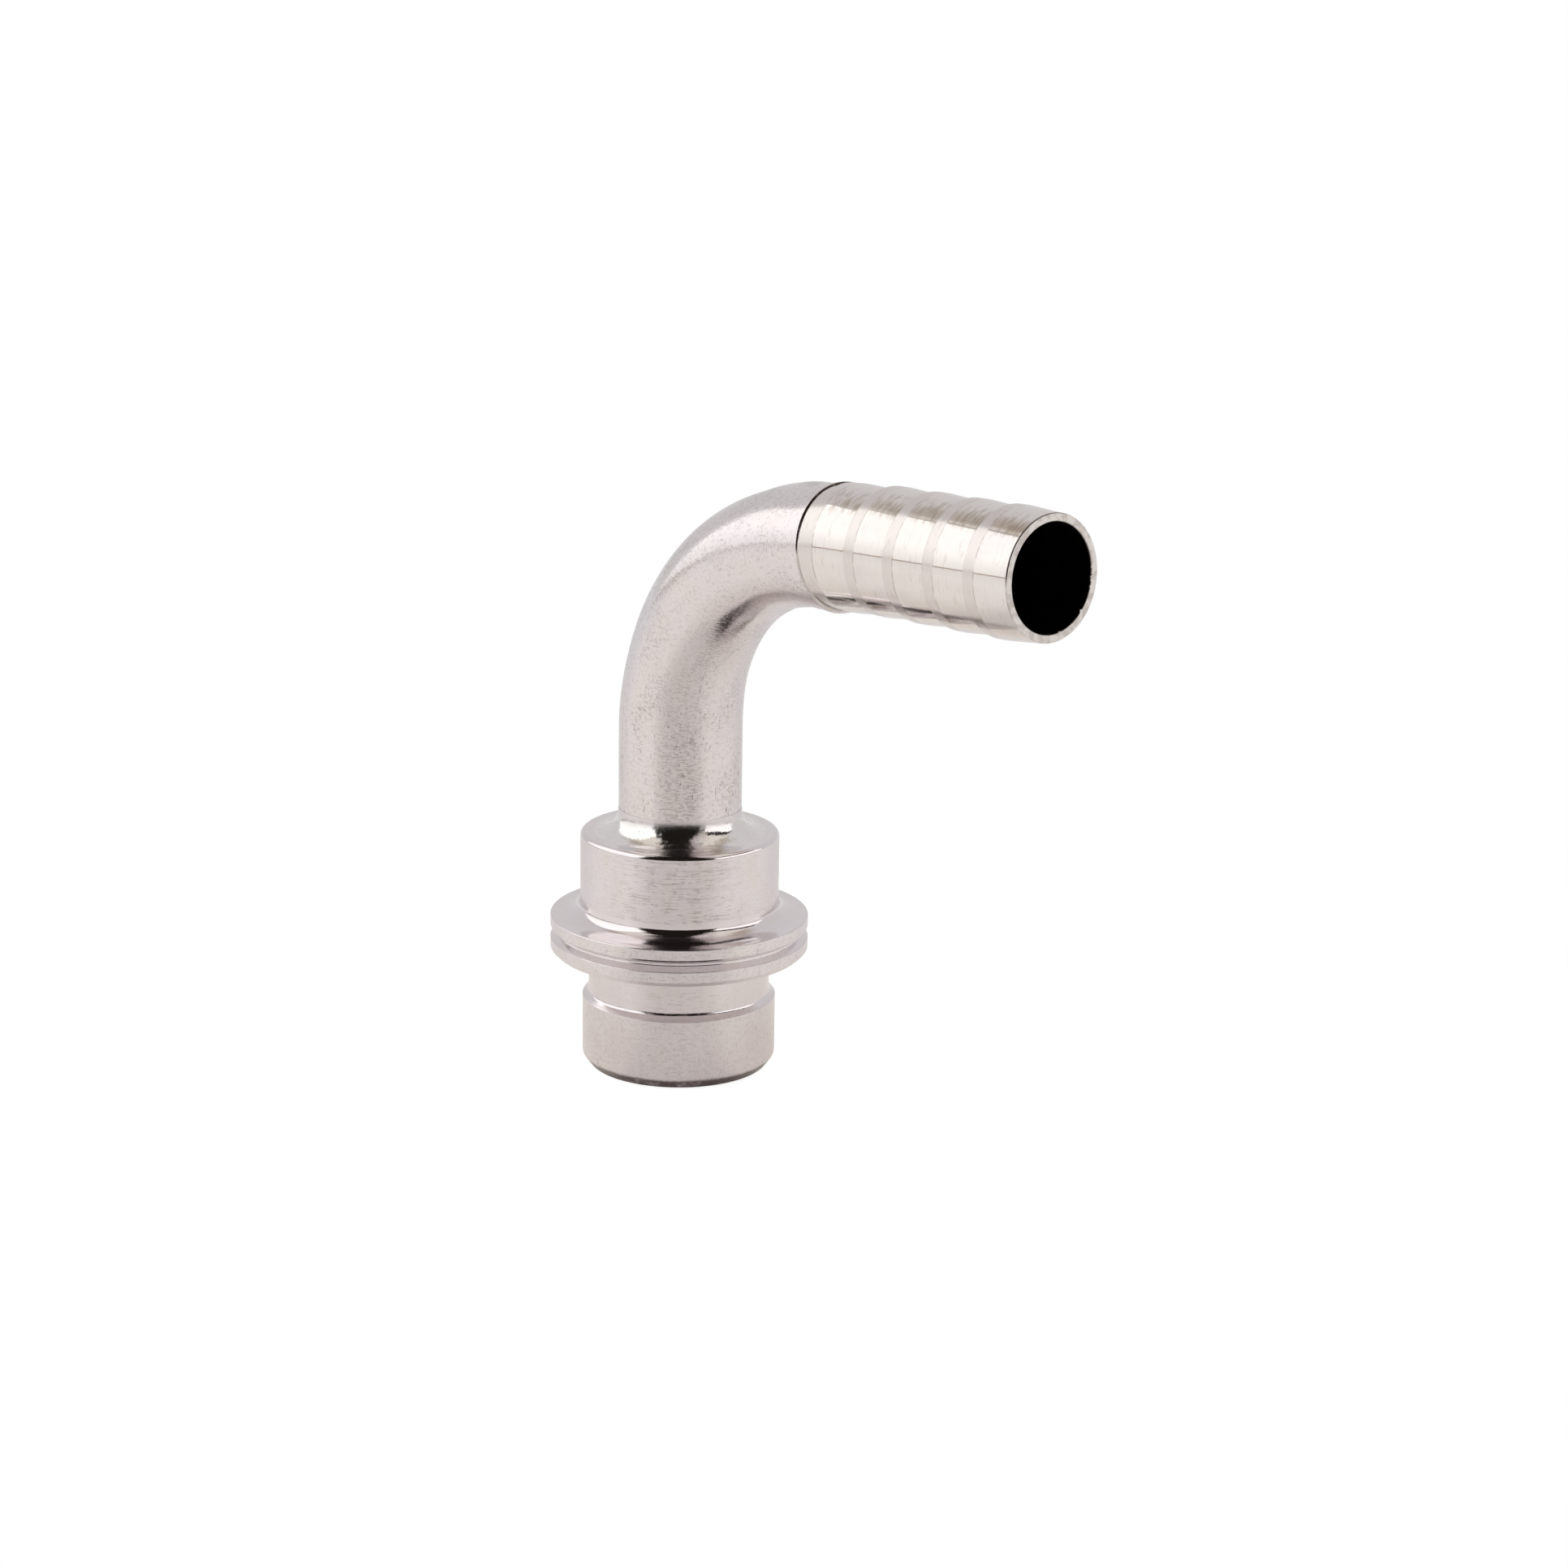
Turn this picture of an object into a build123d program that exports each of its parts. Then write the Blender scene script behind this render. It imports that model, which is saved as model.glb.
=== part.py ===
from build123d import *
import math
import os

# A bent hose barb: a drawn tube, bent through nearly a right angle and turned into a hose barb
# at its free end, is brazed into the collar of a turned spigot.
#
# The origin is the centre of the spigot's end face, which the fitting stands on. +Z runs up the
# spigot and the straight leg of the tube. The barb points along +X. Sizes are in millimetres and
# angles in degrees.

# Tube
TUBE_RADIUS = 5.0
TUBE_WALL = 1.0
BEND_START_HEIGHT = 28.3
BEND_RADIUS = 16.95
BEND_ANGLE = 74.45
RUN_OUT_RADIUS = 41.5
RUN_OUT_ANGLE = 13.65

# Barb, turned on the tube's end: a first tooth that starts on the run-out, then equal teeth
BARB_START = 3.1
BARB_SKIM = 0.13
BARB_DEPTH = 0.22
FIRST_LAND = 1.56
FIRST_RAMP = 3.39
LAND_LENGTH = 1.07
RAMP_LENGTH = 3.04
EQUAL_TEETH = 4
MOUTH_EDGE_BREAK = 0.12

# Spigot: nose, neck, flange and collar, from the bottom up
SPIGOT_BORE_RADIUS = 4.0
NOSE_RADIUS = 7.93
NOSE_LENGTH = 5.74
LEAD_IN_HEIGHT = 0.83
LEAD_IN_WIDTH = 0.62
NECK_RADIUS = 7.42
NECK_LENGTH = 3.3
NECK_CORNER = 0.45
SHOULDER_HEIGHT = 0.46
FLANGE_RADIUS = 10.55
FLANGE_THICKNESS = 3.17
FLANGE_CHAMFER = 0.4
RIM_BELOW_GROOVE = 0.86
GROOVE_FOOT = 0.39
GROOVE_FLOOR = 0.18
GROOVE_LIP = 0.43
GROOVE_DEPTH = 0.6
COLLAR_RADIUS = 8.1
COLLAR_HEIGHT = 6.94
COLLAR_EDGE_CHAMFER = 0.15
COLLAR_FOOT_FILLET = 1.25

# Joint: the tube stands in a socket in the collar, and the braze ends in a fillet round it
SOCKET_DEPTH = 8.0
SOCKET_GAP = 0.05
BRAZE_REACH = 2.0
BRAZE_HEIGHT = 1.75

# Places that follow from the sizes above
NECK_BOTTOM = NOSE_LENGTH + SHOULDER_HEIGHT
FLANGE_BOTTOM = NECK_BOTTOM + NECK_LENGTH
FLANGE_TOP = FLANGE_BOTTOM + FLANGE_THICKNESS
COLLAR_TOP = FLANGE_TOP + COLLAR_HEIGHT
SOCKET_FLOOR = COLLAR_TOP - SOCKET_DEPTH
TUBE_BORE_RADIUS = TUBE_RADIUS - TUBE_WALL
BARB_LAND_RADIUS = TUBE_RADIUS - BARB_SKIM
BARB_ROOT_RADIUS = BARB_LAND_RADIUS - BARB_DEPTH


def turned(points):
    """The solid turned about Z from a closed outline of (radius, height) points."""
    return revolve(Plane.XZ * make_face(Polyline(*points, close=True)), Axis.Z)


def bend_path():
    """The tube's centre line above its straight leg: the bend, and the run-out it eases into."""
    bend = JernArc((0, BEND_START_HEIGHT), (0, 1), BEND_RADIUS, -BEND_ANGLE)
    run_out = JernArc(bend @ 1, bend % 1, RUN_OUT_RADIUS, -RUN_OUT_ANGLE)
    return Plane.XZ * bend, Plane.XZ * run_out


def section(path, at, radius):
    """A round section across the path, at 0 for its start or 1 for its end."""
    return Plane(origin=path @ at, x_dir=(0, 1, 0), z_dir=path % at) * Circle(radius)


def bend_outside():
    """The solid rod along the bend. The barb's first land and part of its first ramp end it."""
    bend, run_out = bend_path()
    land_at = 1 - BARB_START / run_out.length
    ramp_at = land_at + FIRST_LAND / run_out.length
    plain, land, ramp = (run_out.trim(0, land_at), run_out.trim(land_at, ramp_at),
                         run_out.trim(ramp_at, 1))
    rod = sweep(section(bend, 0, TUBE_RADIUS), Wire([bend, plain]))
    rod += sweep(section(land, 0, BARB_LAND_RADIUS), land)
    ends = [section(ramp, 0, BARB_LAND_RADIUS), section(ramp, 1, ramp_radius_at_bend_end())]
    return rod + sweep(ends, ramp, multisection=True)


def ramp_radius_at_bend_end():
    """The barb's radius where its first ramp leaves the bend."""
    return BARB_LAND_RADIUS - BARB_DEPTH * (BARB_START - FIRST_LAND) / FIRST_RAMP


def straight_barb():
    """The hollow straight stretch of the barb, turned about Z from the end of the bend up."""
    height = FIRST_LAND + FIRST_RAMP - BARB_START
    outline = [(TUBE_BORE_RADIUS, 0), (ramp_radius_at_bend_end(), 0), (BARB_ROOT_RADIUS, height)]
    for _ in range(EQUAL_TEETH):
        outline += [(BARB_LAND_RADIUS, height), (BARB_LAND_RADIUS, height + LAND_LENGTH)]
        height += LAND_LENGTH + RAMP_LENGTH
        outline.append((BARB_ROOT_RADIUS, height))
    outline += [(TUBE_BORE_RADIUS + MOUTH_EDGE_BREAK, height),
                (TUBE_BORE_RADIUS, height - MOUTH_EDGE_BREAK)]
    return turned(outline)


def barbed_tube():
    """The drawn tube: a straight leg, the bend, and the barb turned on its free end."""
    leg = turned([(TUBE_BORE_RADIUS, SOCKET_FLOOR), (TUBE_RADIUS, SOCKET_FLOOR),
                  (TUBE_RADIUS, BEND_START_HEIGHT), (TUBE_BORE_RADIUS, BEND_START_HEIGHT)])
    bend, run_out = bend_path()
    bore = sweep(section(bend, 0, TUBE_BORE_RADIUS), Wire([bend, run_out]))
    across_the_end = Plane(origin=run_out @ 1, x_dir=(0, 1, 0), z_dir=run_out % 1)
    return leg + (bend_outside() - bore) + across_the_end * straight_barb()


def corner(face, radius, height):
    """The corner of a half section in the XY plane that is nearest to a radius and height."""
    return face.vertices().sort_by_distance((radius, height, 0))[0]


def spigot():
    """The turned spigot: nose, neck, grooved flange and collar round one stepped bore."""
    socket_radius = TUBE_RADIUS + SOCKET_GAP
    groove_bottom = FLANGE_BOTTOM + FLANGE_CHAMFER + RIM_BELOW_GROOVE
    groove_floor = groove_bottom + GROOVE_FOOT
    groove_ceiling = groove_floor + GROOVE_FLOOR
    groove_radius = FLANGE_RADIUS - GROOVE_DEPTH
    half = make_face(Polyline(
        (SPIGOT_BORE_RADIUS, 0),
        (NOSE_RADIUS - LEAD_IN_WIDTH, 0),
        (NOSE_RADIUS, LEAD_IN_HEIGHT),
        (NOSE_RADIUS, NOSE_LENGTH),
        (NECK_RADIUS, NECK_BOTTOM),
        (NECK_RADIUS, FLANGE_BOTTOM),
        (FLANGE_RADIUS - FLANGE_CHAMFER, FLANGE_BOTTOM),
        (FLANGE_RADIUS, FLANGE_BOTTOM + FLANGE_CHAMFER),
        (FLANGE_RADIUS, groove_bottom),
        (groove_radius, groove_floor),
        (groove_radius, groove_ceiling),
        (FLANGE_RADIUS, groove_ceiling + GROOVE_LIP),
        (FLANGE_RADIUS, FLANGE_TOP),
        (COLLAR_RADIUS, FLANGE_TOP),
        (COLLAR_RADIUS, COLLAR_TOP - COLLAR_EDGE_CHAMFER),
        (COLLAR_RADIUS - COLLAR_EDGE_CHAMFER, COLLAR_TOP),
        (socket_radius, COLLAR_TOP),
        (socket_radius, SOCKET_FLOOR),
        (SPIGOT_BORE_RADIUS, SOCKET_FLOOR),
        close=True))
    ledge = FLANGE_RADIUS - COLLAR_RADIUS
    half = fillet(corner(half, COLLAR_RADIUS, FLANGE_TOP), min(COLLAR_FOOT_FILLET, 0.9 * ledge))
    half = fillet(corner(half, NECK_RADIUS, NECK_BOTTOM), NECK_CORNER)
    return revolve(Plane.XZ * half, Axis.Z)


def braze_fillet():
    """The ring of braze between the tube and the collar's top.

    Its hollow face runs out flat on the collar and meets the tube at a small angle.
    """
    outer = TUBE_RADIUS + BRAZE_REACH
    top = COLLAR_TOP + BRAZE_HEIGHT
    hollow = (BRAZE_REACH ** 2 + BRAZE_HEIGHT ** 2) / (2 * BRAZE_HEIGHT)
    face = RadiusArc((outer, COLLAR_TOP), (TUBE_RADIUS, top), hollow)
    sides = Polyline((TUBE_RADIUS, top), (TUBE_RADIUS, COLLAR_TOP), (outer, COLLAR_TOP))
    return revolve(Plane.XZ * make_face(face + sides), Axis.Z)


os.makedirs("parts", exist_ok=True)
for name, piece in {"spigot": spigot(), "barbed_tube": barbed_tube(),
                    "braze_fillet": braze_fillet()}.items():
    export_step(piece, f"parts/{name}.step")
    print(name, len(piece.solids()), "solid", round(piece.volume, 2), "mm3")
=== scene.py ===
# %% [markdown]
# A bent hose barb, dressed for its photograph. The CAD solids give every size and place. This
# file adds the finer shape of the real fitting, its nickel finish, and the studio round it.
# Blender works in metres, and the sizes here are in millimetres, so lengths go through MM.

# %% Load the frame
import bpy
import math
from mathutils import Matrix, Vector, noise


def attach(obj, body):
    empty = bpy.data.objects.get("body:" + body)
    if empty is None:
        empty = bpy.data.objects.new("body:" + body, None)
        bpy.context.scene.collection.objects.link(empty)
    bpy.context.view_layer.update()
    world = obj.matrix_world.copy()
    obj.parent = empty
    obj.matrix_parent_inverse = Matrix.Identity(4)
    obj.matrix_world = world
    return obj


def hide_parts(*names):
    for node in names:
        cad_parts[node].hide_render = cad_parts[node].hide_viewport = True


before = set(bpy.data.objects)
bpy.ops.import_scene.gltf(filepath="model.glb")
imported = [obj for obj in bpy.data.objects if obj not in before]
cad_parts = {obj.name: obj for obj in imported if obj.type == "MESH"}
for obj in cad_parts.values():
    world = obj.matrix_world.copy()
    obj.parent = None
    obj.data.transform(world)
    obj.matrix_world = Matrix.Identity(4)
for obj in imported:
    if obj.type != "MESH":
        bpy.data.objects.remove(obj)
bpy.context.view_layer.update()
MM = 0.001
scene = bpy.context.scene
scene.view_settings.view_transform = "Standard"
print("nodes in the frame:", len(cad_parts))

# %% [markdown]
# The camera stands where the photographer's stood: a little above the fitting, looking along
# the far side of its flange, with the barb coming towards the right. Its place was found by
# fitting the outlines of the turned rings to the photograph, which is why the numbers aren't
# round. The roll of under one degree is in the photograph too.

# %% Camera
CAMERA_PLACE = Vector((194.88617, -163.75254, 90.53151))
CAMERA_RIGHT = Vector((0.66505837, 0.74662779, 0.01563026))
CAMERA_UP = Vector((-0.20016151, 0.15805158, 0.96693075))
CAMERA_BACK = Vector((0.71946698, -0.64619397, 0.25455967))
MIDDLE_OF_FITTING = Vector((5.6, 6.2, 23.6))

lens = bpy.data.cameras.new("camera")
lens.lens = 74.534
lens.sensor_width = 36
lens.clip_start = 0.01
camera = bpy.data.objects.new("camera", lens)
axes = Matrix((CAMERA_RIGHT, CAMERA_UP, CAMERA_BACK)).transposed()
camera.matrix_world = Matrix.Translation(CAMERA_PLACE * MM) @ axes.to_4x4()
scene.collection.objects.link(camera)
scene.camera = camera
print("camera", round((CAMERA_PLACE - MIDDLE_OF_FITTING).length), "mm from the fitting")

# %% [markdown]
# A material is a graph of nodes, and its maths could be laid out node by node. It reads better
# as sums. So Signal wraps one output socket, and adding, multiplying or comparing two of them
# adds the Math node that does it.

# %% Nodes written as sums
class Signal:
    """One output socket of a material's node, with the maths that materials need."""

    def __init__(self, finish, socket):
        self.finish, self.socket = finish, socket

    def math(self, operation, *others):
        values = dict(enumerate((self,) + others))
        return self.finish.add("ShaderNodeMath", {"operation": operation}, values)

    def __add__(self, other): return self.math("ADD", other)
    def __radd__(self, other): return self.math("ADD", other)
    def __sub__(self, other): return self.math("SUBTRACT", other)
    def __rsub__(self, other): return self.math("MULTIPLY_ADD", -1.0, other)
    def __mul__(self, other): return self.math("MULTIPLY", other)
    def __rmul__(self, other): return self.math("MULTIPLY", other)
    def __truediv__(self, other): return self.math("DIVIDE", other)
    def largest(self, other): return self.math("MAXIMUM", other)
    def smallest(self, other): return self.math("MINIMUM", other)

    def ramp(self, low, high, start=0.0, end=1.0):
        """Runs smoothly from start to end as this signal goes from low to high."""
        return self.finish.add("ShaderNodeMapRange", {"interpolation_type": "SMOOTHSTEP"},
                               {"Value": self, "From Min": low, "From Max": high,
                                "To Min": start, "To Max": end})

    def near(self, middle, width, soft):
        """1 within width/2 of the middle, fading to 0 over soft beyond it."""
        away = (self - middle).math("ABSOLUTE")
        return away.ramp(width / 2, width / 2 + soft, 1.0, 0.0)


print("made", Signal.__name__)

# %% [markdown]
# Finish is one material, lamp or world. Its add method puts in any kind of node, setting the
# node's options first and then its values and links. Colours and vectors go through nodes of
# their own kind, because a Math node would turn a colour grey.

# %% Finishes
class Finish:
    """One material, lamp or world, by its node tree."""

    ENDS = {"World": "ShaderNodeOutputWorld", "AreaLight": "ShaderNodeOutputLight"}

    def __init__(self, owner):
        self.owner = owner
        owner.use_nodes = True
        self.nodes, self.links = owner.node_tree.nodes, owner.node_tree.links
        self.nodes.clear()

    def add(self, kind, settings=None, values=None, output=0):
        """Adds a node and gives one of its outputs."""
        node = self.nodes.new(kind)
        for name, setting in (settings or {}).items():
            setattr(node, name, setting)
        for name, value in (values or {}).items():
            if isinstance(value, Signal):
                self.links.new(value.socket, node.inputs[name])
            else:
                node.inputs[name].default_value = value
        return Signal(self, node.outputs[output])

    def other(self, signal, name):
        """Another output of the node that a signal comes from."""
        return Signal(self, signal.socket.node.outputs[name])

    def show(self, surface):
        """Makes this shader what is seen."""
        end = self.nodes.new(self.ENDS.get(type(self.owner).__name__, "ShaderNodeOutputMaterial"))
        self.links.new(surface.socket, end.inputs["Surface"])

    def blend(self, mask, first, second):
        """The first colour where the mask is 0 and the second where it is 1."""
        return self.add("ShaderNodeMix", {"data_type": "RGBA"},
                        {0: mask, 6: first, 7: second}, output=2)

    def layered(self, colour, layers):
        """A colour with (mask, colour) layers laid over it, one after the other."""
        for mask, layer in layers:
            colour = self.blend(mask, colour, layer)
        return colour

    def either(self, mask, first, second):
        """The first shader where the mask is 0 and the second where it is 1."""
        return self.add("ShaderNodeMixShader", None, {0: mask, 1: first, 2: second})

    def both(self, first, second):
        return self.add("ShaderNodeAddShader", None, {0: first, 1: second})

    def glow(self, colour):
        return self.add("ShaderNodeEmission", None, {"Color": colour, "Strength": 1.0})

    def matt(self, colour):
        return self.add("ShaderNodeBsdfDiffuse", None, {"Color": colour})

    def rays(self):
        """1 for the camera's own rays, and 1 for those that come by a mirror or through glass."""
        own = self.add("ShaderNodeLightPath")
        return own, self.other(own, "Is Glossy Ray") + self.other(own, "Is Transmission Ray")


def new_finish(name):
    return Finish(bpy.data.materials.new(name))


print("made", Finish.__name__)

# %% [markdown]
# Patterns are read from a place on the piece. A place can be stretched before it goes into the
# noise, and that is how metal gets its direction: noise squeezed one way looks like tool marks.

# %% Places and noise
def stretch(finish, vector, scale):
    return finish.add("ShaderNodeVectorMath", {"operation": "MULTIPLY"}, {0: vector, 1: scale})


def parts(finish, vector):
    """A vector's three parts."""
    first = finish.add("ShaderNodeSeparateXYZ", None, {0: vector})
    return [finish.other(first, i) for i in range(3)]


def place_on(finish):
    """The place on the piece, in millimetres."""
    return stretch(finish, finish.add("ShaderNodeTexCoord", output="Object"), (1 / MM,) * 3)


def grain_at(finish, vector, scale, detail=2.0, rough=0.5):
    """Noise of one scale, or of a scale for each of the three ways."""
    if isinstance(scale, tuple):
        vector, scale = stretch(finish, vector, scale), 1.0
    return finish.add("ShaderNodeTexNoise", None, {"Vector": vector, "Scale": scale,
                                                   "Detail": detail, "Roughness": rough})


print("patterns are in millimetres,", round(1 / MM), "to the metre")

# %% [markdown]
# Polished nickel has hardly any colour of its own, so what it reflects is what it looks like, and
# the studio matters as much as the metal does. The fitting stands on a white table between two
# soft boxes, with a pale backdrop behind it and a dark room behind the camera. Each is placed by
# degrees round from the camera, which is how it would be set up for the photograph.

# %% Places in the studio
CAMERA_TURN = math.degrees(math.atan2(CAMERA_BACK.x, -CAMERA_BACK.y))
LEFT_BOX_TURN, RIGHT_BOX_TURN, BACKDROP_TURN = -87, 76, 170
WHITE = (1, 1, 1, 1)


def direction(turn):
    """The level way to a place in the studio, by degrees round from the camera."""
    a = math.radians(CAMERA_TURN + turn)
    return Vector((math.sin(a), -math.cos(a), 0))


FRONT, RIGHT = direction(0), direction(90)
print("the camera stands", round(CAMERA_TURN, 2), "degrees round")

# %% [markdown]
# The table is one large square with the fitting at its middle.

# %% Table
TABLE_SPAN = 4000
reach = TABLE_SPAN / 2 * MM
table_mesh = bpy.data.meshes.new("table")
table_mesh.from_pydata([(-reach, -reach, 0), (reach, -reach, 0), (reach, reach, 0),
                        (-reach, reach, 0)], [], [(0, 1, 2, 3)])
table = bpy.data.objects.new("table", table_mesh)
scene.collection.objects.link(table)
print("table", TABLE_SPAN, "mm across")

# %% [markdown]
# What the metal sees of the table is painted, by the distance from the fitting and by the way
# there: dim close by and bright far off, warm and darker in front, where no lamp stands, paler at
# the sides and cool behind. The paint glows, so its tones stay as they are mixed. Close by, the
# table answers to the lamps as well, so that the fitting's own shade shows in it.

# %% Table as the metal sees it
paper = new_finish("white_table")
east, north, _ = parts(paper, paper.add("ShaderNodeTexCoord", output="Object"))
distance = (east * east + north * north).math("SQRT")
ahead = (east * FRONT.x + north * FRONT.y) / distance.largest(0.001)
at_sides, not_behind = ahead.ramp(0.55, 0.98, 1.0, 0.0), ahead.ramp(-0.9, -0.1)

close_by = paper.blend(at_sides, (0.268, 0.262, 0.256, 1), (0.485, 0.485, 0.465, 1))
close_by = paper.blend(not_behind, (0.33, 0.33, 0.345, 1), close_by)
at_foot = paper.blend(at_sides, (0.275, 0.258, 0.248, 1), (0.40, 0.375, 0.343, 1))
close_by = paper.blend(distance.ramp(0.014, 0.05), at_foot, close_by)
far_off = paper.blend(at_sides, (0.74, 0.715, 0.69, 1), (0.93, 0.905, 0.875, 1))
far_off = paper.blend(not_behind, (0.76, 0.76, 0.78, 1), far_off)
far = distance.ramp(0.12, 0.30)
lit = paper.matt(paper.blend(far, (0.8, 0.785, 0.77, 1), (0.04, 0.04, 0.04, 1)))
to_metal = paper.both(paper.glow(paper.blend(far, close_by, far_off)), lit)
print("painted the table for the metal in", len(paper.nodes), "nodes")

# %% [markdown]
# The camera sees pure white paper, apart from a soft shadow at the fitting's foot. Light Path
# tells the two apart. Far off and behind the fitting, the metal sees some of the white as well.

# %% Table as the camera sees it
PALE, FAINT = (0.86, 0.86, 0.86, 1), (0.55, 0.55, 0.55, 1)
shaded = paper.both(paper.glow(PALE), paper.matt(FAINT))
to_camera = paper.either(distance.ramp(0.035, 0.09), shaded, paper.glow(WHITE))
own, mirrored = paper.rays()
white_share = own + mirrored * distance.ramp(0.2, 1.0) * ahead.ramp(-0.9, 0.3, 0.3, 0.0)
paper.show(paper.either(white_share, to_metal, to_camera))
table_mesh.materials.append(paper.owner)
print("white table", len(paper.nodes), "nodes")

# %% [markdown]
# The two soft boxes are area lamps that stand upright, so they show in the metal as long white
# bands. A real one is dimmer towards its edge, and here that is a ramp from the foot up, in the
# colour of the light. The energy is worked out from the size, so that a small box is no brighter
# than a large one.

# %% Soft boxes
BOX_DISTANCE, BOX_LIFT = 500, 48
FOOT_GLOW, FOOT_SHARE = 1.08, 0.34


def soft_box(name, turn, width, height, strength, colour):
    """An upright lamp facing the fitting, with its strength falling off towards its foot."""
    lamp = bpy.data.lights.new(name, "AREA")
    lamp.shape = "RECTANGLE"
    lamp.size, lamp.size_y = width * MM, height * MM
    lamp.energy = math.pi * lamp.size * lamp.size_y
    lamp.color = colour
    cloth = Finish(lamp)
    _, rise, _ = parts(cloth, cloth.add("ShaderNodeNewGeometry", output="Parametric"))
    shade = cloth.blend(rise.ramp(0.0, FOOT_SHARE), (FOOT_GLOW,) * 3 + (1,), (strength,) * 3 + (1,))
    cloth.show(cloth.glow(shade))
    box = bpy.data.objects.new(name, lamp)
    facing = -direction(turn)
    box.location = (-facing * BOX_DISTANCE + Vector((0, 0, BOX_LIFT + height / 2))) * MM
    box.rotation_euler = facing.to_track_quat("-Z", "Y").to_euler()
    box.visible_camera = False
    scene.collection.objects.link(box)
    print(name, "at", [round(v, 2) for v in box.location], "watts", round(lamp.energy, 2))


soft_box("left_soft_box", LEFT_BOX_TURN, 900, 700, 1.36, (1.0, 0.99, 0.97))
soft_box("right_soft_box", RIGHT_BOX_TURN, 640, 290, 1.32, (1.0, 0.98, 0.96))

# %% [markdown]
# The room is painted on the world, by direction. It is dark in front and overhead, which gives
# polished metal its black lines, and has a brown skirting at the horizon. Over the soft boxes the
# walls are pale beige. On the left that starts just under the lamp's top edge, so that nothing
# parts the two. On the right a dark gap is left, which is one more dark line on the metal.

# %% Room at the sides
DARK, BEIGE, SKIRTING = (0.014, 0.011, 0.009, 1), (0.86, 0.81, 0.74, 1), (0.26, 0.18, 0.12, 1)
OVER_LEFT_BOX, OVER_RIGHT_BOX, STRIP_TOP, STRIP_EDGE = 1.385, 0.96, 9.0, 0.03
room = bpy.data.worlds.new("room")
scene.world = room
walls = Finish(room)
east, north, up = parts(walls, walls.add("ShaderNodeTexCoord"))
ahead = east * FRONT.x + north * FRONT.y
to_right = east * RIGHT.x + north * RIGHT.y


def strip(turn, low):
    """1 in a level strip, as on a wall standing that way round, from low up to overhead."""
    way = direction(turn)
    out = east * way.x + north * way.y
    slope = up / out.largest(0.02)
    return (slope.ramp(low - STRIP_EDGE, low + STRIP_EDGE)
            * slope.ramp(STRIP_TOP - STRIP_EDGE, STRIP_TOP + STRIP_EDGE, 1.0, 0.0)
            * out.ramp(0.03, 0.12))


beside = (to_right.math("ABSOLUTE") - ahead * 1.25).ramp(0.0, 0.1)
over_boxes = strip(LEFT_BOX_TURN, OVER_LEFT_BOX).largest(strip(RIGHT_BOX_TURN, OVER_RIGHT_BOX))
tone = walls.blend(beside * over_boxes * up.ramp(0.93, 0.98, 1.0, 0.0), DARK, BEIGE)
tone = walls.blend(up.ramp(0.0, 0.012), SKIRTING, tone)
print("painted the room's sides in", len(walls.nodes), "nodes")

# %% [markdown]
# Behind the fitting hangs the white backdrop, with a warm strip of wall between it and the dark
# ceiling. The camera sees the backdrop at full strength. The metal sees it as pale grey, the tone
# that the upper side of the real barb shows. Part of that comes through Light Path's glossy rays,
# and the rest is painted.

# %% Room behind the fitting
LOW_WALL, HIGH_WALL = (0.60, 0.575, 0.575, 1), (0.50, 0.44, 0.37, 1)
BACKDROP_SHARE = 0.3
way = direction(BACKDROP_TURN)
level = (1 - up * up).largest(0.0001).math("SQRT")
behind = ((east * way.x + north * way.y) / level).ramp(0.43, 0.53)
backdrop = up.ramp(0.68, 0.80, 1.0, 0.0)
tone = walls.blend(behind * up.ramp(0.83, 0.92, 1.0, 0.0), tone,
                   walls.blend(backdrop, HIGH_WALL, LOW_WALL))
painted = walls.add("ShaderNodeBackground", None, {"Color": tone, "Strength": 1.0})
white = walls.add("ShaderNodeBackground", None, {"Color": WHITE, "Strength": 1.0})
own, mirrored = walls.rays()
walls.show(walls.either(own + mirrored * behind * backdrop * BACKDROP_SHARE, painted, white))
print("room", len(walls.nodes), "nodes")

# %% [markdown]
# Turned metal has an outline, drawn once and spun. Every edge of a real turning is rounded a
# little, and that small round is what catches the light, so each corner here has a radius. A
# bevel could do it after the mesh is made, but the outline knows its corners exactly.

# %% Outlines with rounded corners
STEPS_A_QUARTER_TURN = 8


def rounded(corners):
    """Rounds a closed outline's corners.

    Each corner is (across, along, radius), in order with the metal on the left. Gives a list of
    (across, along, facing across, facing along).
    """
    points = []
    for i, (x, y, radius) in enumerate(corners):
        here = Vector((x, y))
        come = (here - Vector(corners[i - 1][:2])).normalized()
        leave = (Vector(corners[(i + 1) % len(corners)][:2]) - here).normalized()
        turn = math.atan2(come.x * leave.y - come.y * leave.x, come.dot(leave))
        side = 1 if turn > 0 else -1
        start = math.atan2(-come.x, come.y)
        first = here - come * radius * math.tan(abs(turn) / 2)
        facing = Vector((math.cos(start), math.sin(start)))
        centre = first - facing * radius * side
        number = max(2, math.ceil(STEPS_A_QUARTER_TURN * abs(turn) / (math.pi / 2)))
        for k in range(number + 1):
            angle = start + turn * k / number
            facing = Vector((math.cos(angle), math.sin(angle)))
            place = centre + facing * radius * side
            points.append((place.x, place.y, facing.x, facing.y))
    return points


print("a square corner gets", STEPS_A_QUARTER_TURN + 1, "points")

# %% [markdown]
# The way the surface faces is worked out with each point and given to Blender as it is. Left to
# itself, Blender would average it across a corner and bend the reflections in the flat faces.
# Each mesh replaces one solid of the CAD, and rides on the same body.

# %% Meshes from rings
TURNED_AROUND = 288


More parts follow.
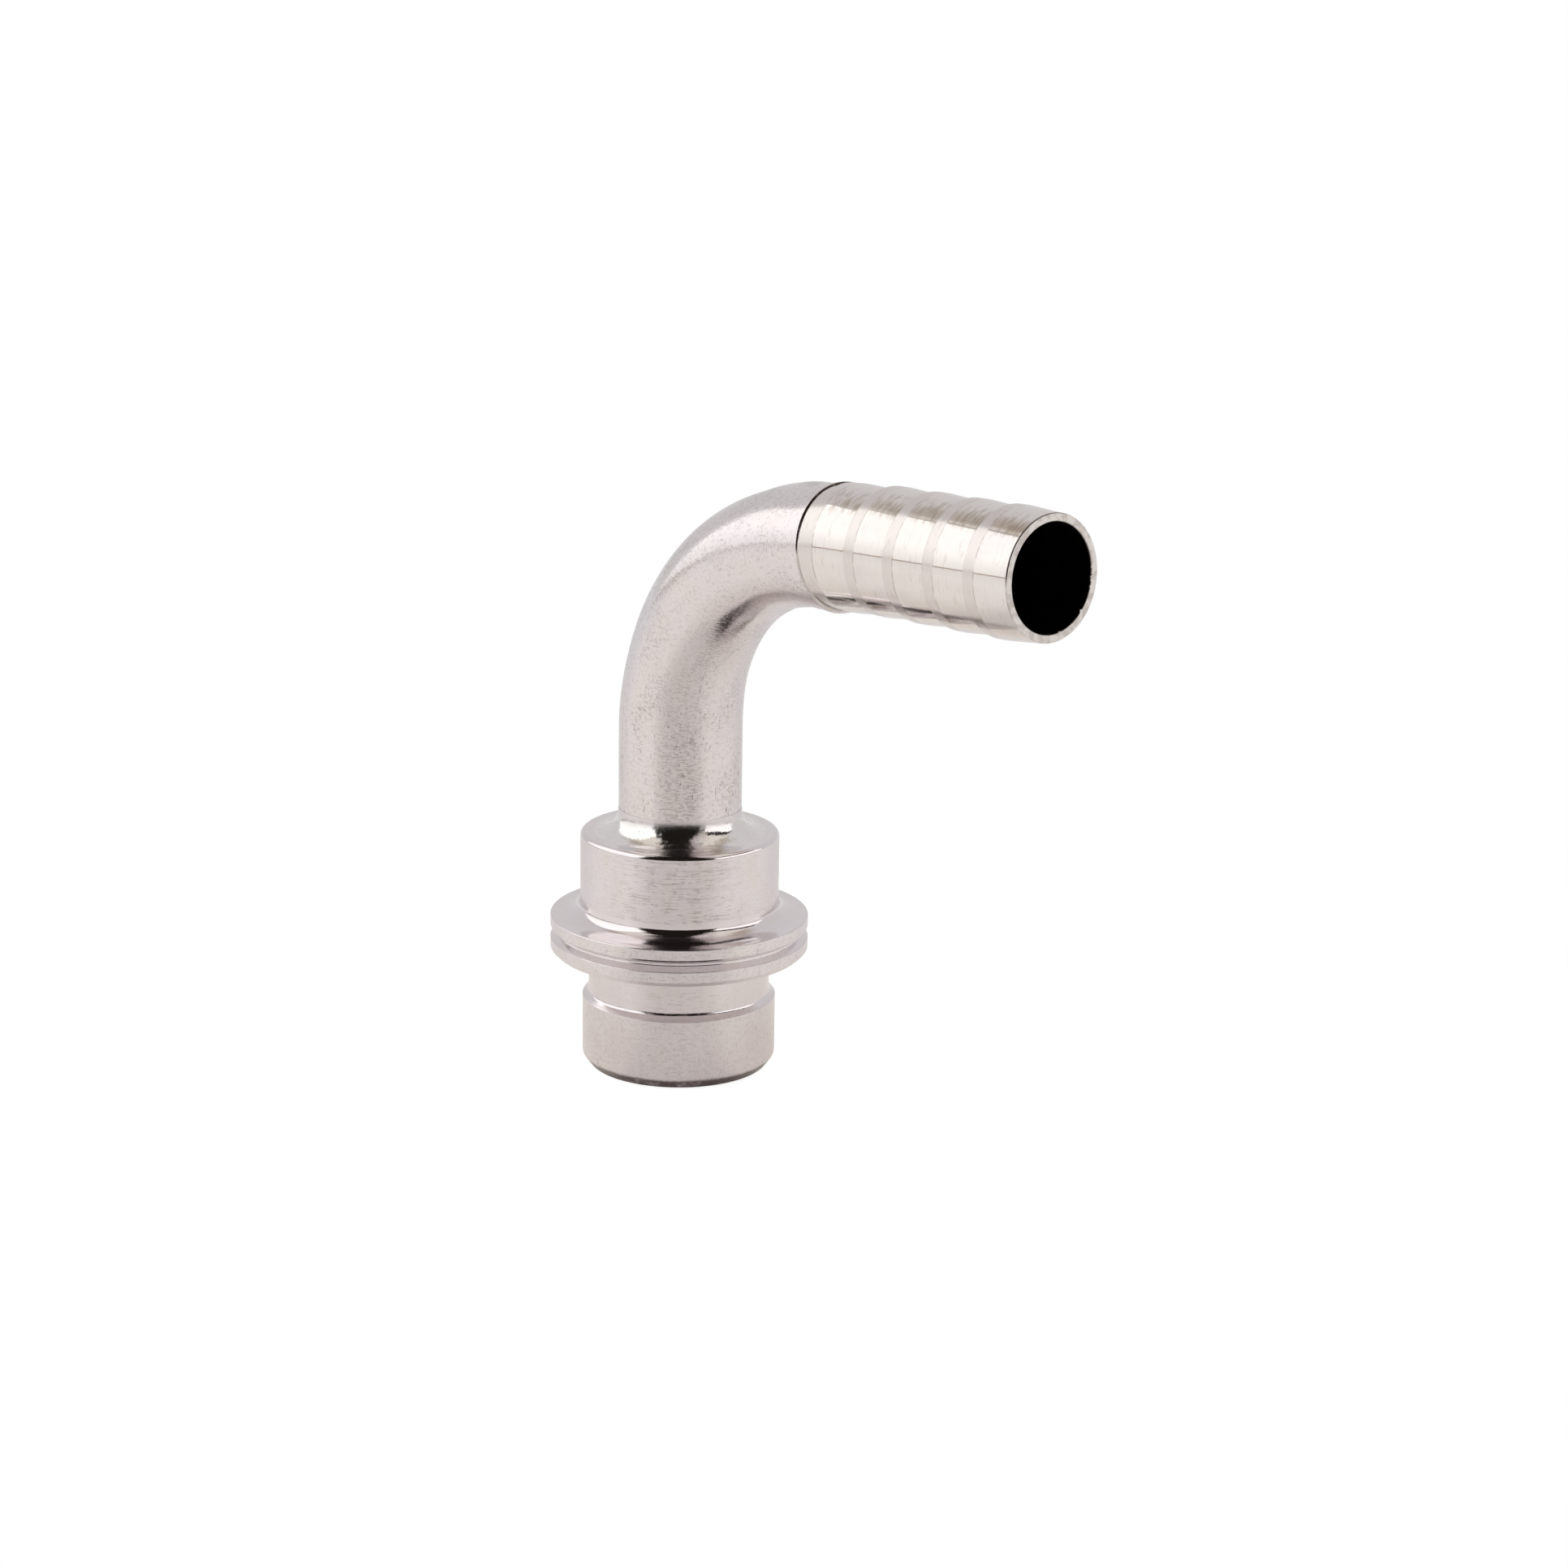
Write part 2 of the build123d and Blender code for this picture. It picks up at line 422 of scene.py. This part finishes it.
def skin(name, rings, node):
    """A mesh through rings of (place, facing) pairs, in millimetres. It replaces a CAD node."""
    around = len(rings[0])
    places = [place * MM for ring in rings for place, _ in ring]
    facings = [facing.normalized() for ring in rings for _, facing in ring]
    faces = []
    for i in range(len(rings)):
        a, b = i * around, (i + 1) % len(rings) * around
        faces += [(a + j, a + (j + 1) % around, b + (j + 1) % around, b + j)
                  for j in range(around)]
    mesh = bpy.data.meshes.new(name)
    mesh.from_pydata(places, [], faces)
    mesh.polygons.foreach_set("use_smooth", [True] * len(faces))
    mesh.normals_split_custom_set_from_vertices(facings)
    piece = bpy.data.objects.new(name, mesh)
    scene.collection.objects.link(piece)
    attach(piece, "root")
    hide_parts(node)
    print(name, len(places), "points,", len(faces), "faces")
    return piece


def spun(name, outline, node):
    """Spins an outline of (radius, height) points round the upright axis."""
    turns = [2 * math.pi * j / TURNED_AROUND for j in range(TURNED_AROUND)]
    rings = [[(Vector((r * math.cos(t), r * math.sin(t), z)),
               Vector((nr * math.cos(t), nr * math.sin(t), nz))) for t in turns]
             for r, z, nr, nz in outline]
    return skin(name, rings, node)


print("turned pieces have", TURNED_AROUND, "points round")

# %% [markdown]
# The spigot is one piece turned from bar: a nose that plugs in, a neck, a flange with a groove
# round its rim, and a collar that the tube stands in. The collar's foot is hollow and wider than
# it is high, which puts a thin bright line over a broad dark one. A quarter ellipse takes the
# place of the sharp corner there.

# %% Spigot
NOSE, NECK, FLANGE, COLLAR, BORE = 7.93, 7.42, 10.545, 8.1, 4.0
SOCKET, SOCKET_FLOOR = 5.05, 11.61
NOSE_TOP, NECK_FOOT, FLANGE_FOOT, FLANGE_TOP, COLLAR_TOP = 5.74, 6.2, 9.5, 12.67, 19.61
GROOVE_FOOT, GROOVE_TOP, GROOVE_DEPTH = 10.76, 11.76, 0.6
FOOT_REACH, FOOT_RISE, FOOT_STEPS = 1.8, 0.95, 32


def hollow_foot(radius, height):
    """A collar's hollow foot, a quarter ellipse from its side out to the flange below."""
    points = []
    for k in range(FOOT_STEPS + 1):
        a = math.pi / 2 * k / FOOT_STEPS
        facing = Vector((math.sin(a) / FOOT_REACH, math.cos(a) / FOOT_RISE)).normalized()
        points.append((radius + FOOT_REACH * (1 - math.sin(a)),
                       height + FOOT_RISE * (1 - math.cos(a)), facing.x, facing.y))
    return points


spigot_outline = rounded([
    (BORE, 0, 0.12), (NOSE - 0.62, 0, 0.1), (NOSE, 0.83, 0.5), (NOSE, NOSE_TOP, 0.04),
    (NECK, NECK_FOOT, 0.45), (NECK, FLANGE_FOOT, 0.3), (FLANGE - 0.4, FLANGE_FOOT, 0.06),
    (FLANGE, FLANGE_FOOT + 0.4, 0.06), (FLANGE, GROOVE_FOOT, 0.05),
    (FLANGE - GROOVE_DEPTH, GROOVE_FOOT + 0.39, 0.1),
    (FLANGE - GROOVE_DEPTH, GROOVE_TOP - 0.43, 0.03),
    (FLANGE, GROOVE_TOP, 0.05), (FLANGE, FLANGE_TOP, 0.12), (COLLAR, FLANGE_TOP, 0),
    (COLLAR, COLLAR_TOP, 0.42), (SOCKET, COLLAR_TOP, 0.03), (SOCKET, SOCKET_FLOOR, 0.03),
    (BORE, SOCKET_FLOOR, 0.03)])
at_foot = [i for i, (r, z, _, _) in enumerate(spigot_outline)
           if math.dist((r, z), (COLLAR, FLANGE_TOP)) < 0.001]
spigot_outline[at_foot[0]:at_foot[-1] + 1] = hollow_foot(COLLAR, FLANGE_TOP)
spigot = spun("turned_spigot", spigot_outline, "spigot")

# %% [markdown]
# The tube's outline runs along its centre line: up the leg, round the bend and out along the
# barb. The bend eases off in a wider arc before the barb runs straight. A curve object with a
# bevel would follow it too, but the barb's steps and an oval section are easier ring by ring.

# %% Centre line
BEND_START, BEND_RADIUS, BEND_ANGLE = 28.3, 16.95, math.radians(74.45)
RUN_OUT_RADIUS, RUN_OUT_ANGLE = 41.5, math.radians(13.65)
BEND_LENGTH, RUN_OUT_LENGTH = BEND_RADIUS * BEND_ANGLE, RUN_OUT_RADIUS * RUN_OUT_ANGLE
CURVED = BEND_LENGTH + RUN_OUT_LENGTH


def centre_line(run):
    """The centre line's place and heading, by millimetres past the start of the bend."""
    if run <= 0:
        return Vector((0, 0, BEND_START + run)), Vector((0, 0, 1))
    turn = min(run, BEND_LENGTH) / BEND_RADIUS
    place = Vector((BEND_RADIUS * (1 - math.cos(turn)), 0,
                    BEND_START + BEND_RADIUS * math.sin(turn)))
    if run > BEND_LENGTH:
        centre = place + RUN_OUT_RADIUS * Vector((math.cos(turn), 0, -math.sin(turn)))
        turn += min(run - BEND_LENGTH, RUN_OUT_LENGTH) / RUN_OUT_RADIUS
        place = centre + RUN_OUT_RADIUS * Vector((-math.cos(turn), 0, math.sin(turn)))
    heading = Vector((math.sin(turn), 0, math.cos(turn)))
    if run > CURVED:
        place += heading * (run - CURVED)
    return place, heading


print("the centre line is curved for", round(CURVED, 2), "mm")

# %% [markdown]
# The hose barb is turned on the tube's end: flat lands, each dropping through a ramp to the next.
# One outline of (radius, run) gives it. The rings in between are closest together at the sharp
# groove where the barb starts, and widest apart on the straight leg.

# %% Tube outline
TUBE, WALL = 5.0, 1.0
LAND, ROOT = 4.87, 4.65
BARB_START = CURVED - 3.1
FIRST_LAND, FIRST_STEP, LAND_LENGTH, STEP, EQUAL_TEETH = 1.56, 4.95, 1.07, 4.11, 4
TUBE_FOOT = SOCKET_FLOOR - BEND_START

corners = [(TUBE - WALL, TUBE_FOOT, 0.03), (TUBE, TUBE_FOOT, 0.05), (TUBE, BARB_START - 0.1, 0.12),
           (LAND, BARB_START + 0.1, 0.12), (LAND, BARB_START + FIRST_LAND, 0.1)]
run = BARB_START + FIRST_STEP
for tooth in range(EQUAL_TEETH):
    corners += [(ROOT, run, 0.03), (LAND, run + 0.02, 0.04), (LAND, run + LAND_LENGTH, 0.1)]
    run += STEP
MOUTH = run
corners += [(ROOT, MOUTH, 0.1), (TUBE - WALL, MOUTH, 0.12)]


def ring_spacing(run):
    """How far apart the rings are after a run, closest at the groove where the barb starts."""
    ahead_of_ring = run + 0.3
    if abs(ahead_of_ring - BARB_START) < 0.3:
        return 0.05
    return 0.5 if ahead_of_ring > 0 else 1.0


tube_outline = []
for r, s, nr, ns in rounded(corners):
    if tube_outline:
        r0, s0, nr0, ns0 = tube_outline[-1]
        length, s1 = s - s0, s0
        while s1 + 1.5 * ring_spacing(s1) < s:
            s1 += ring_spacing(s1)
            f = (s1 - s0) / length
            tube_outline.append((r0 + (r - r0) * f, s1, nr0 + (nr - nr0) * f,
                                 ns0 + (ns - ns0) * f))
    tube_outline.append((r, s, nr, ns))
print("tube outline", len(tube_outline), "rings outside")

# %% [markdown]
# The bore runs back from the mouth to the foot. Three close rings come first, to hold the burrs at
# the mouth's edge, and even ones follow.

# %% Rings of the bore
CLOSE_RINGS, EVEN_RINGS = (0.06, 0.14, 0.25), 64
bore_start = tube_outline[-1][1]
bore_run = [bore_start - back for back in CLOSE_RINGS]
bore_run += [bore_run[2] + (TUBE_FOOT - bore_start + CLOSE_RINGS[2]) * k / EVEN_RINGS
             for k in range(1, EVEN_RINGS)]
tube_outline += [(TUBE - WALL, s, -1, 0) for s in bore_run]
print("tube outline", len(bore_run), "rings inside")

# %% [markdown]
# A bend squeezes a tube in its own plane, so its section is made slightly oval. The amounts were
# fitted to the outline in the photograph, in millimetres. Most push inward. Those with a minus
# sign push the inner side out, at the barb's first tooth, and none goes on past that tooth.

# %% Flattening of the bend
def ease(x):
    """Goes smoothly from 0 to 1 as x does."""
    x = min(1, max(0, x))
    return x * x * (3 - 2 * x)


def hump(x, middle, width):
    """A smooth bump 1 high."""
    x = abs(x - middle) / (width / 2)
    return 0 if x >= 1 else (1 + math.cos(math.pi * x)) / 2


def flattening(s):
    """How far the bend's outer and inner sides are pushed towards the centre line."""
    start, past = ease(s / 6), s - BARB_START
    first_tooth = ease((FIRST_STEP - past) / 0.4)
    outer = start * (0.15 * first_tooth + 0.15 * ease((-5.2 - past) / 2.5))
    outer += 0.18 * hump(past, -1.3, 4.4)
    inner = 0.28 * start * ease((-1.2 - past) / 2.2) - 0.16 * hump(past, -0.4, 1.6)
    inner += 0.1 * hump(past, -6.6, 8)
    inner -= 0.16 * ease((past - 0.5) / 2) * first_tooth
    return outer, inner


pushes = [flattening(s) for _, s, _, _ in tube_outline]
print("outer side pushed in by up to", round(max(outer for outer, _ in pushes), 2),
      "mm and inner side by up to", round(max(inner for _, inner in pushes), 2))

# %% [markdown]
# A drawn tube has a slow unevenness too, and a parting tool cut a ragged groove where the barb
# starts. Both go inward. The burrs are what deburring left at the mouth. They are all made from
# noise and smooth bumps, so that they can be worked out at any angle and run.

# %% Dents and burrs
def dent(t, s):
    """How far the outside is pushed in, in millimetres, at an angle and a run."""
    around = Vector((math.cos(t) * 1.3, math.sin(t) * 1.3, s * 0.13))
    depth = 0.011 * (1 + noise.noise(around + Vector((3, 7, 1))))
    degrees = (math.degrees(t) + 180) % 360 - 180
    share = hump(degrees, -145, 130)
    if share:
        ragged = 1 + 0.5 * noise.noise(Vector((degrees * 0.16, 0, 5)))
        width = 0.15 + 0.1 * hump(degrees, -170, 30)
        depth += 0.11 * min(1, 1.6 * share) * ragged * hump(s, BARB_START + 0.02, width)
    return depth


def burr(t):
    """How far the mouth's inner edge stands inward, in millimetres."""
    degrees = math.degrees(t) % 360
    zigzag = abs(noise.noise(Vector((degrees * 0.3, 2, 0)))) * hump(degrees, 86, 46)
    return 0.34 * zigzag + 0.17 * hump(degrees, 48, 5) + 0.09 * hump(degrees, 11.5, 5)


print("the longest burr is", round(max(burr(math.radians(d / 2)) for d in range(720)), 2), "mm")

# %% [markdown]
# Now each point of the outline becomes a ring round the centre line. The facing of each point
# follows the slope of the dents, found by stepping a little to both sides, so that the
# reflections bend as they should.

# %% Barbed tube
TUBE_AROUND = 304
SMALL_RUN, SMALL_TURN = 0.01, 0.004
BURR_LENGTH, BURR_RISE = 0.3, 0.25
OUTSIDE_FROM, BORE_TO, FACING_OUT = 4.3, 4.2, 0.3
ANGLES = [2 * math.pi * j / TUBE_AROUND for j in range(TUBE_AROUND)]


def tube_ring(r, s, nr, ns):
    """One ring of (place, facing) pairs, from a point of the outline."""
    place, heading = centre_line(s)
    across = Vector((0, 1, 0))
    inward = across.cross(heading)
    outer_squeeze, inner_squeeze = flattening(s) if r > OUTSIDE_FROM else (0, 0)
    ring = []
    for t in ANGLES:
        a, b = math.cos(t), math.sin(t)
        squeeze = inner_squeeze if a > 0 else outer_squeeze
        depth, along, round_slope = 0, 0, 0
        if nr > FACING_OUT and s > TUBE_FOOT + 1:
            depth = dent(t, s)
            along = (dent(t, s + SMALL_RUN) - dent(t, s - SMALL_RUN)) / (2 * SMALL_RUN)
            round_slope = ((dent(t + SMALL_TURN, s) - dent(t - SMALL_TURN, s))
                           / (2 * SMALL_TURN) / r)
        if nr < FACING_OUT and s > MOUTH - BURR_LENGTH and r < BORE_TO:
            depth = burr(t) * ease((s - MOUTH + BURR_LENGTH) / BURR_RISE)
        spoke = inward * (a * (r - depth - squeeze)) + across * (b * (r - depth))
        facing = (inward * (a * r) + across * (b * (r - squeeze))).normalized()
        sideways = across * a - inward * b
        ring.append((place + spoke, (facing + sideways * round_slope) * nr
                     + heading * (ns + along * nr)))
    return ring


tube = skin("barbed_tube_skin", [tube_ring(*point) for point in tube_outline],
            "barbed_tube")

# %% [markdown]
# The marks of drawing follow the bend, so the tube's finish needs to know where each point would
# be if the tube were straight. An attribute on the mesh keeps that place.

# %% Tube as if straight
straightened = tube.data.attributes.new("straightened", "FLOAT_VECTOR", "POINT")
laid_straight = []
for r, s, _, _ in tube_outline:
    for t in ANGLES:
        laid_straight += [r * math.cos(t), r * math.sin(t), s]
straightened.data.foreach_set("vector", laid_straight)
print("laid straight", len(laid_straight) // 3, "points")

# %% [markdown]
# The braze is the metal that ran into the corner between the tube and the collar. Its surface is
# hollow: it runs out flat on the collar and climbs the tube, as a liquid that wets both does. One
# arc of a circle is near enough.

# %% Braze fillet
BRAZE_REACH, BRAZE_HEIGHT, BRAZE_STEPS = 2.0, 2.0, 32
hollow = (BRAZE_REACH ** 2 + BRAZE_HEIGHT ** 2) / (2 * BRAZE_HEIGHT)
braze_foot = TUBE + BRAZE_REACH
lean = math.asin(1 - BRAZE_HEIGHT / hollow)
braze_outline = [(TUBE, COLLAR_TOP, -1, 0), (braze_foot, COLLAR_TOP, 0, 1)]
for k in range(1, BRAZE_STEPS + 1):
    a = math.pi / 2 + (lean - math.pi / 2) * k / BRAZE_STEPS
    braze_outline.append((braze_foot - hollow * math.cos(a),
                          COLLAR_TOP + hollow * (1 - math.sin(a)), math.cos(a), math.sin(a)))
braze = spun("braze_ring", braze_outline, "braze_fillet")

# %% [markdown]
# Every surface is nickel plate, and how it was made shows through the plating. All the finishes
# start from one metal. Its colour is nickel's pale warm grey with faint stains, and its height
# map, in millimetres, goes through a Bump node into the Normal socket.

# %% Nickel
WARM_STAIN, LILAC_STAIN = (0.74, 0.68, 0.64, 1), (0.72, 0.66, 0.69, 1)


def stained(finish, place, clean):
    """Nickel's colour with faint warm and lilac stains."""
    warm = grain_at(finish, place, (0.5, 0.5, 0.28), 4.0, 0.62).ramp(0.46, 0.68)
    lilac = grain_at(finish, place, (0.34, 0.34, 0.2), 3.0).ramp(0.5, 0.72)
    return finish.layered(clean, [(warm * 0.4, WARM_STAIN), (lilac * 0.4, LILAC_STAIN)])


def plate(piece, finish, colour, roughness, height):
    """Puts the metal on a piece, from a colour, a roughness and a height in millimetres."""
    bump = finish.add("ShaderNodeBump", None,
                      {"Strength": 1.0, "Distance": MM, "Height": height})
    finish.show(finish.add("ShaderNodeBsdfPrincipled", None,
                           {"Base Color": colour, "Metallic": 1.0, "Roughness": roughness,
                            "Normal": bump}))
    piece.data.materials.append(finish.owner)
    print(finish.owner.name, len(finish.nodes), "nodes")


print("nickel's stains", WARM_STAIN, LILAC_STAIN)

# %% [markdown]
# The leg and the bend are drawn tube. Drawing leaves a satin skin with fine marks along it, and
# plating leaves small dark pits. One side of the leg is scuffed. Each kind of mark is a noise of
# its own, stretched along the tube or round it, and cut off softly so that a few marks are left.
# The marks are then laid over the metal's colour one after the other.

# %% Marks of the drawn tube
SCUFFED_SIDE = (0.744, -0.668)


def towards(side, x, y, radius):
    """How squarely a round surface faces a side, from 1 down."""
    return (x * side[0] + y * side[1]) / radius


drawn = new_finish("drawn_nickel")
straight = drawn.add("ShaderNodeAttribute", {"attribute_name": "straightened"}, output="Vector")
x, y, run = parts(drawn, straight)
radius = (x * x + y * y).math("SQRT")
patches = grain_at(drawn, straight, (0.4, 0.4, 0.17), 3.0).ramp(0.42, 0.62)
pits = (grain_at(drawn, straight, (9.0, 9.0, 1.9), 3.0) + patches * 0.06).ramp(0.66, 0.73)
wear = grain_at(drawn, straight, (2.4, 2.4, 9.0), 3.0)
scuffs = (wear + patches * 0.06).ramp(0.56, 0.68)
tube_grain = grain_at(drawn, straight, 3.4, 3.0, 0.6)
on_leg, to_scuffed = run.ramp(-1.0, 2.0, 1.0, 0.0), towards(SCUFFED_SIDE, x, y, radius.largest(0.1))
scuffed = wear.ramp(0.44, 0.60) * on_leg * to_scuffed.ramp(0.90, 0.99)

tube_colour = drawn.layered(stained(drawn, straight, (0.745, 0.702, 0.715, 1)), [
    (tube_grain.ramp(0.50, 0.66) * 0.4, (0.50, 0.47, 0.46, 1)),
    (scuffs * patches * 0.35, (0.36, 0.33, 0.32, 1)),
    (scuffed * 0.42, (0.42, 0.385, 0.37, 1)),
    (pits * run.ramp(-3.0, 6.0, 0.65, 0.3), (0.14, 0.12, 0.11, 1))])
tube_rough = 0.13 + patches * 0.05 + scuffs * 0.06
tube_height = tube_grain * 0.014 - pits * 0.006 - scuffs * 0.003
print("drawn tube", len(drawn.nodes), "nodes")

# %% [markdown]
# The barb was turned, so its marks run round it. The place along each tooth comes from a modulo,
# which folds the equal teeth onto one. The lands are duller than the ramps. A painted reflection
# lays dark brown streaks on the ramps' upper side, and painted shade darkens the groove where the
# barb starts and a line round the mouth, both on the upper side.

# %% Marks of the barb
UPPER_SIDE = (-0.848, -0.53)
past = run - (BARB_START + FIRST_STEP)
first = past.math("LESS_THAN", 0.0)
along = first * (run - BARB_START) + (1 - first) * past.math("FLOORED_MODULO", STEP)
land_end = LAND_LENGTH + first * (FIRST_LAND - LAND_LENGTH)
land = (along - land_end).ramp(-0.04, 0.04, 1.0, 0.0)
edges = along.near(0.0, 0.04, 0.05).largest((along - land_end).near(0.0, 0.03, 0.05))
barb_tool = grain_at(drawn, straight, (0.25, 0.25, 9.0), 3.0, 0.6)
broken = grain_at(drawn, straight, (1.6, 1.6, 3.0), 3.0)
worn = grain_at(drawn, straight, (0.8, 0.8, 3.2), 4.0, 0.6)
lines = (barb_tool + broken * 0.35).ramp(0.74, 0.84)
to_upper = towards(UPPER_SIDE, x, y, radius.largest(0.1))
# Painted reflection: dark brown streaks on the ramps' upper side, broken by noise.
painted_reflection_streaks = worn.ramp(0.40, 0.60) * (1 - land) * along.ramp(0.6, 2.4) * to_upper.ramp(0.945, 0.985)
# Painted shade in the groove where the barb starts, on its upper side, broken by noise.
groove = run.near(BARB_START, 0.10, 0.07) * to_upper.ramp(0.70, 0.86) * broken.ramp(0.25, 0.45)
# Painted shade in a line round the mouth, on its upper side.
mouth_line = (run - radius).near(MOUTH - ROOT - 0.04, 0.09, 0.06) * to_upper.ramp(0.45, 0.7)
print("with the barb's marks", len(drawn.nodes), "nodes")

# %% [markdown]
# Tube and barb are one piece of metal, so one finish holds both, and a mask along the run changes
# from the one to the other. The bore looks nearly black in the photograph, and it is painted so.
# That near-black is painted shade. The cut end is duller than the rest.

# %% Drawn tube and turned barb
barb_colour = drawn.layered(stained(drawn, straight, (0.775, 0.738, 0.722, 1)), [
    # painted reflection: dark brown streaks on the ramps' upper side
    (painted_reflection_streaks * 0.55, (0.44, 0.38, 0.32, 1)),
    (land * 0.75, (0.69, 0.645, 0.63, 1)),
    (worn.ramp(0.60, 0.68) * 0.22, (0.40, 0.33, 0.28, 1)),
    (lines * 0.10, (0.33, 0.28, 0.24, 1)),
    (edges * broken.ramp(0.38, 0.58) * 0.5, (0.26, 0.21, 0.17, 1))])
barb_rough = 0.075 + land * 0.12 + painted_reflection_streaks * 0.05
barb_height = barb_tool * 0.0003 + worn * 0.0015 - lines * 0.0004 - edges * 0.004

barb = run.ramp(BARB_START - 0.03, BARB_START + 0.03)
# The bore: painted shade, nearly black.
inside = radius.ramp(4.0, 4.12, 1.0, 0.0)
end_face = run.ramp(MOUTH - 0.12, MOUTH - 0.03)
dull = drawn.blend(broken.ramp(0.4, 0.6), (0.70, 0.67, 0.66, 1), (0.55, 0.51, 0.49, 1))
colour = drawn.layered(drawn.blend(barb, tube_colour, barb_colour), [
    (end_face, dull),
    # painted shade in the groove and in the line round the mouth
    ((groove + mouth_line * 0.7).smallest(1.0), (0.06, 0.04, 0.03, 1)),
    # painted shade deep in the bore
    (inside, (0.045, 0.03, 0.025, 1))])
rough = tube_rough + barb * (barb_rough - tube_rough) + inside * 0.3
height = tube_height + barb * (barb_height - tube_height)
plate(tube, drawn, colour, rough + end_face * 0.12, height)

# %% [markdown]
# The spigot was turned in a lathe, so its marks run round it. Noise that is squeezed along the
# profile and stretched round it looks like tool lines. The direction round comes from the place
# over its radius, which has no seam.

# %% Tool lines of the spigot
turned = new_finish("turned_nickel")
place = place_on(turned)
x, y, z = parts(turned, place)
radius = (x * x + y * y).math("SQRT").largest(0.1)
profile = radius * 5 + z * 6


def lathe_lines(closeness, breaks, detail, rough=0.5):
    """Lines round the spigot, closer together or more often broken."""
    at = turned.add("ShaderNodeCombineXYZ", None, {
        0: profile * closeness, 1: x / radius * breaks, 2: y / radius * breaks})
    return grain_at(turned, at, 1.0, detail, rough)


tool_lines = lathe_lines(1.0, 2, 2.0)
fine_lines = lathe_lines(1.3, 1, 1.0)
dashes = lathe_lines(2.2, 9, 2.0, 0.6)
speckle = grain_at(turned, place, 7.0, 3.0, 0.6)
mottle = grain_at(turned, place, (1.1, 1.1, 0.9), 5.0, 0.65)
satin = grain_at(turned, place, 4.5, 5.0, 0.75)
nicks = grain_at(turned, place, (3.2, 3.2, 1.3), 3.0, 0.6).ramp(0.63, 0.70)
print("tool lines", len(turned.nodes), "nodes")

# %% [markdown]
# The nose, neck, rim and collar carry different marks, so each gets a mask, made from its height
# or its radius. The faces that the tool left smooth stay glossy.

# %% Parts of the spigot
nose = z.ramp(5.9, 6.0, 1.0, 0.0)
neck = z.ramp(6.1, 6.3) * z.ramp(9.4, 9.5, 1.0, 0.0)
rim = radius.ramp(10.38, 10.5)
above = z.ramp(12.6, 12.68)
collar_side = above * z.ramp(13.8, 14.2) * z.ramp(19.1, 19.3, 1.0, 0.0)
smooth = above * (1 - collar_side)
to_front = towards(SCUFFED_SIDE, x, y, radius).ramp(0.60, 0.97)
nose_foot = (z + mottle * 0.5).ramp(0.82, 1.16, 1.0, 0.0) * nose
print("with the parts", len(turned.nodes), "nodes")

# %% [markdown]
# The collar's side has the plainest lathe lines, most of them towards the front. The nose and the
# rim are satin and nicked, and the nose is darker towards its foot.

# %% Turned spigot
marked = collar_side * to_front * 0.30 + nose * 0.05 + rim * 0.05 + neck * 0.03
dash_marks = (dashes + mottle * 0.3).ramp(0.74, 0.82)
lined = fine_lines.ramp(0.50, 0.62) * mottle.ramp(0.4, 0.6, 0.3, 1.0) * collar_side * to_front
colour = turned.layered(stained(turned, place, (0.765, 0.722, 0.742, 1)), [
    (dash_marks * marked * 0.8, (0.2, 0.17, 0.15, 1)),
    (satin.ramp(0.50, 0.66) * (nose * 0.4 + rim * 0.45 + collar_side * 0.22),
     (0.50, 0.46, 0.45, 1)),
    (lined * 0.34, (0.40, 0.36, 0.35, 1)),
    (nicks * (nose * 0.30 + rim * 0.32 + neck * 0.10), (0.36, 0.29, 0.26, 1)),
    (nose_foot * mottle.ramp(0.3, 0.5, 0.65, 1.0), (0.155, 0.125, 0.12, 1))])
rough = (0.13 - smooth * 0.05 + collar_side * 0.1 + nose * 0.12 + neck * 0.04 + rim * 0.08
         + dash_marks * 0.1)
height = tool_lines * (0.0015 + collar_side * 0.001) - dash_marks * 0.003 * (1 - smooth)
height = height + speckle * (0.003 + smooth * 0.001) + satin * 0.003
plate(spigot, turned, colour, rough, height)

# %% [markdown]
# Braze runs into the corner while it is liquid and sets with a bright skin of its own. It has no
# tool marks, so this finish is glossy, with a slow wave in its height. Flux and soot leave small
# dark spots on it, and its upper edge, where it drained thin, is duller.

# %% Braze
DRAINED_FROM, DRAINED_TO = COLLAR_TOP + 1.35, COLLAR_TOP + 1.95
brazed = new_finish("braze_nickel")
place = place_on(brazed)
waves = grain_at(brazed, place, 0.8, 2.0)
dust = grain_at(brazed, place, 8.0, 2.0)
spots = dust.ramp(0.66, 0.72)
drained = (parts(brazed, place)[2] + waves * 0.5).ramp(DRAINED_FROM, DRAINED_TO)
colour = brazed.layered(stained(brazed, place, (0.8, 0.775, 0.77, 1)), [
    (drained, (0.735, 0.695, 0.705, 1)), (spots * 0.7, (0.15, 0.12, 0.11, 1))])
plate(braze, brazed, colour, 0.09 + spots * 0.2 + drained * 0.2, waves * 0.05 + dust * 0.008)
